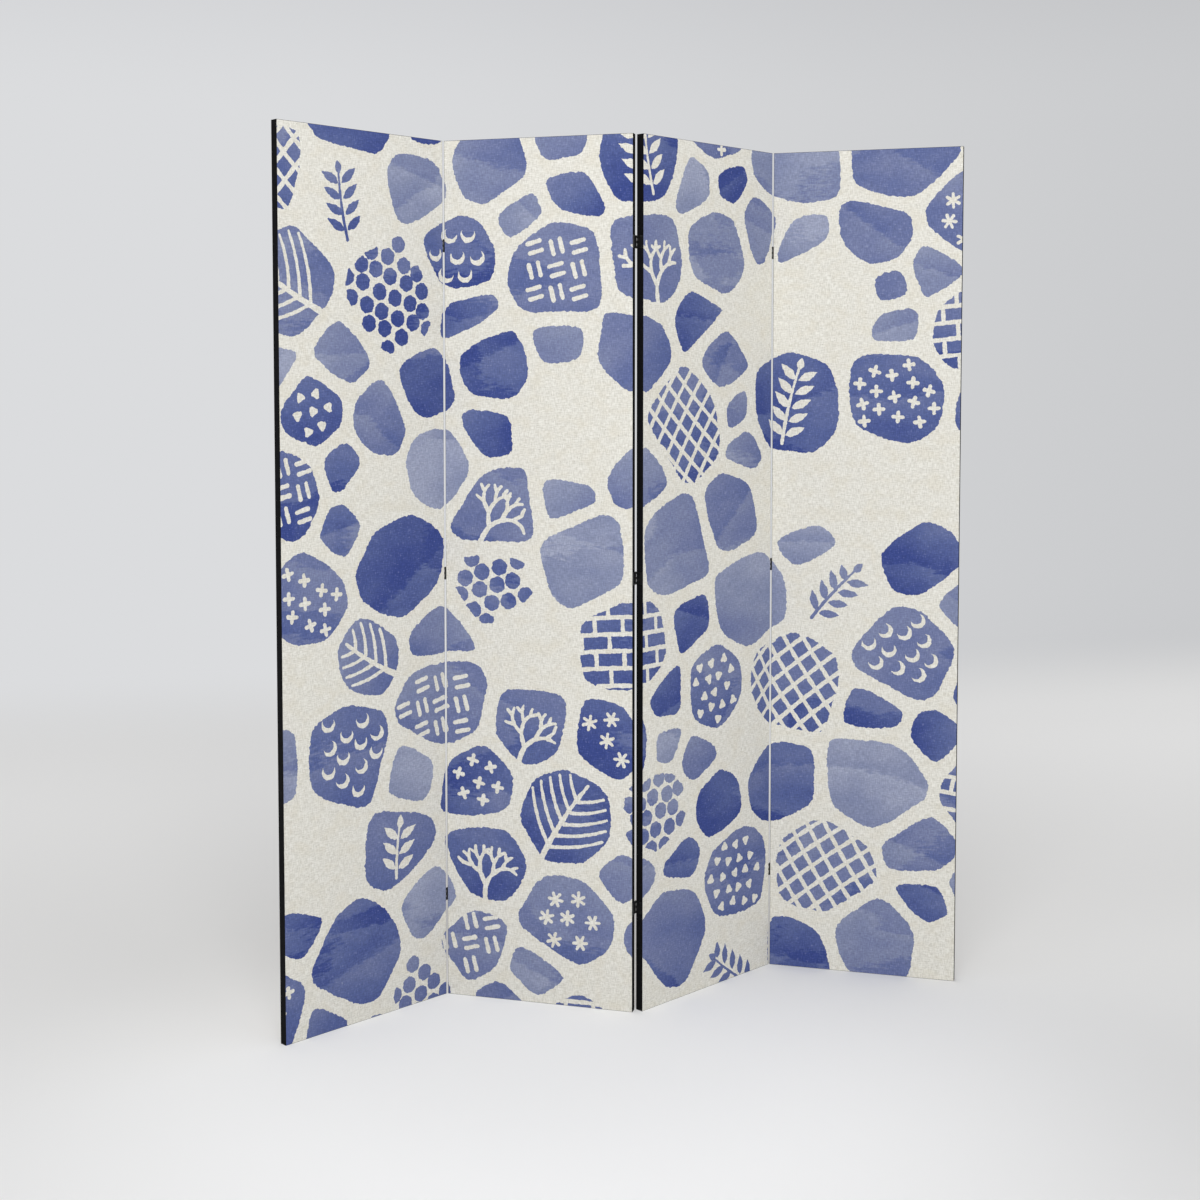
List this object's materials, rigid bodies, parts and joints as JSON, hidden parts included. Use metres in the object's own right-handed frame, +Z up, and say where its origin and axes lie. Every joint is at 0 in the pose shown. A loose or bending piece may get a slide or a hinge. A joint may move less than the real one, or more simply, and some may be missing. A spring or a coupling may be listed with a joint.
{
  "type": "room divider",
  "caption": "Folding room divider of tall canvas-covered timber-framed panels, hinged edge to edge so that it stands in a zigzag and folds flat either way.",
  "frame": {"origin": "on the floor, at the middle of the box round the screen as it stands in its zigzag", "axes": "+X along the screen from its left end to its right end seen from the printed front, -Y towards the viewer of the front, +Z up"},
  "size_m": [1.4492, 0.2234, 1.8],
  "materials": {
    "canvas": "woven, matt, printed",
    "timber": "planed softwood",
    "staple_wire": "zinc plated",
    "hinge_metal": "matt black",
    "pin_metal": "matt black",
    "screw_metal": "black oxide"
  },
  "bodies": {
    "panel_1": {"panel_1_canvas": "canvas", "panel_1_left_stile": "timber", "panel_1_right_stile": "timber", "panel_1_bottom_rail": "timber", "panel_1_top_rail": "timber", "panel_1_lower_brace": "timber", "panel_1_upper_brace": "timber", "panel_1_staples": "staple_wire", "hinge_12_left_leaves": "hinge_metal", "hinge_12_left_screws": "screw_metal"},
    "panel_2": {"panel_2_canvas": "canvas", "panel_2_left_stile": "timber", "panel_2_right_stile": "timber", "panel_2_bottom_rail": "timber", "panel_2_top_rail": "timber", "panel_2_lower_brace": "timber", "panel_2_upper_brace": "timber", "panel_2_staples": "staple_wire", "hinge_12_right_leaves": "hinge_metal", "hinge_12_right_screws": "screw_metal", "hinge_23_left_leaves": "hinge_metal", "hinge_23_left_screws": "screw_metal"},
    "panel_3": {"panel_3_canvas": "canvas", "panel_3_left_stile": "timber", "panel_3_right_stile": "timber", "panel_3_bottom_rail": "timber", "panel_3_top_rail": "timber", "panel_3_lower_brace": "timber", "panel_3_upper_brace": "timber", "panel_3_staples": "staple_wire", "hinge_23_right_leaves": "hinge_metal", "hinge_23_right_screws": "screw_metal", "hinge_34_left_leaves": "hinge_metal", "hinge_34_left_screws": "screw_metal"},
    "panel_4": {"panel_4_canvas": "canvas", "panel_4_left_stile": "timber", "panel_4_right_stile": "timber", "panel_4_bottom_rail": "timber", "panel_4_top_rail": "timber", "panel_4_lower_brace": "timber", "panel_4_upper_brace": "timber", "panel_4_staples": "staple_wire", "hinge_34_right_leaves": "hinge_metal", "hinge_34_right_screws": "screw_metal"},
    "link_12": {"hinge_12_links": "hinge_metal", "hinge_12_front_pins": "pin_metal", "hinge_12_back_pins": "pin_metal"},
    "link_23": {"hinge_23_links": "hinge_metal", "hinge_23_front_pins": "pin_metal", "hinge_23_back_pins": "pin_metal"},
    "link_34": {"hinge_34_links": "hinge_metal", "hinge_34_front_pins": "pin_metal", "hinge_34_back_pins": "pin_metal"}
  },
  "joints": [
    {"name": "hinge_23_front", "type": "hinge", "parent": "link_23", "child": "panel_2", "pos_m": [-0.0098, -0.11049, 0], "axis": [0, 0, 1], "range_deg": [0, 179]},
    {"name": "hinge_12_back", "type": "hinge", "parent": "panel_2", "child": "link_12", "pos_m": [-0.35334, 0.11049, 0], "axis": [0, 0, -1], "range_deg": [0, 179]},
    {"name": "hinge_12_front", "type": "hinge", "parent": "link_12", "child": "panel_1", "pos_m": [-0.36314, 0.09351, 0], "axis": [0, 0, 1], "range_deg": [-60, 119]},
    {"name": "hinge_23_back", "type": "hinge", "parent": "link_23", "child": "panel_3", "pos_m": [0, -0.09351, 0], "axis": [0, 0, 1], "range_deg": [-60, 119]},
    {"name": "hinge_34_front", "type": "hinge", "parent": "panel_3", "child": "link_34", "pos_m": [0.36314, 0.09351, 0], "axis": [0, 0, -1], "range_deg": [-60, 119]},
    {"name": "hinge_34_back", "type": "hinge", "parent": "link_34", "child": "panel_4", "pos_m": [0.37294, 0.11049, 0], "axis": [0, 0, 1], "range_deg": [0, 179]}
  ]
}
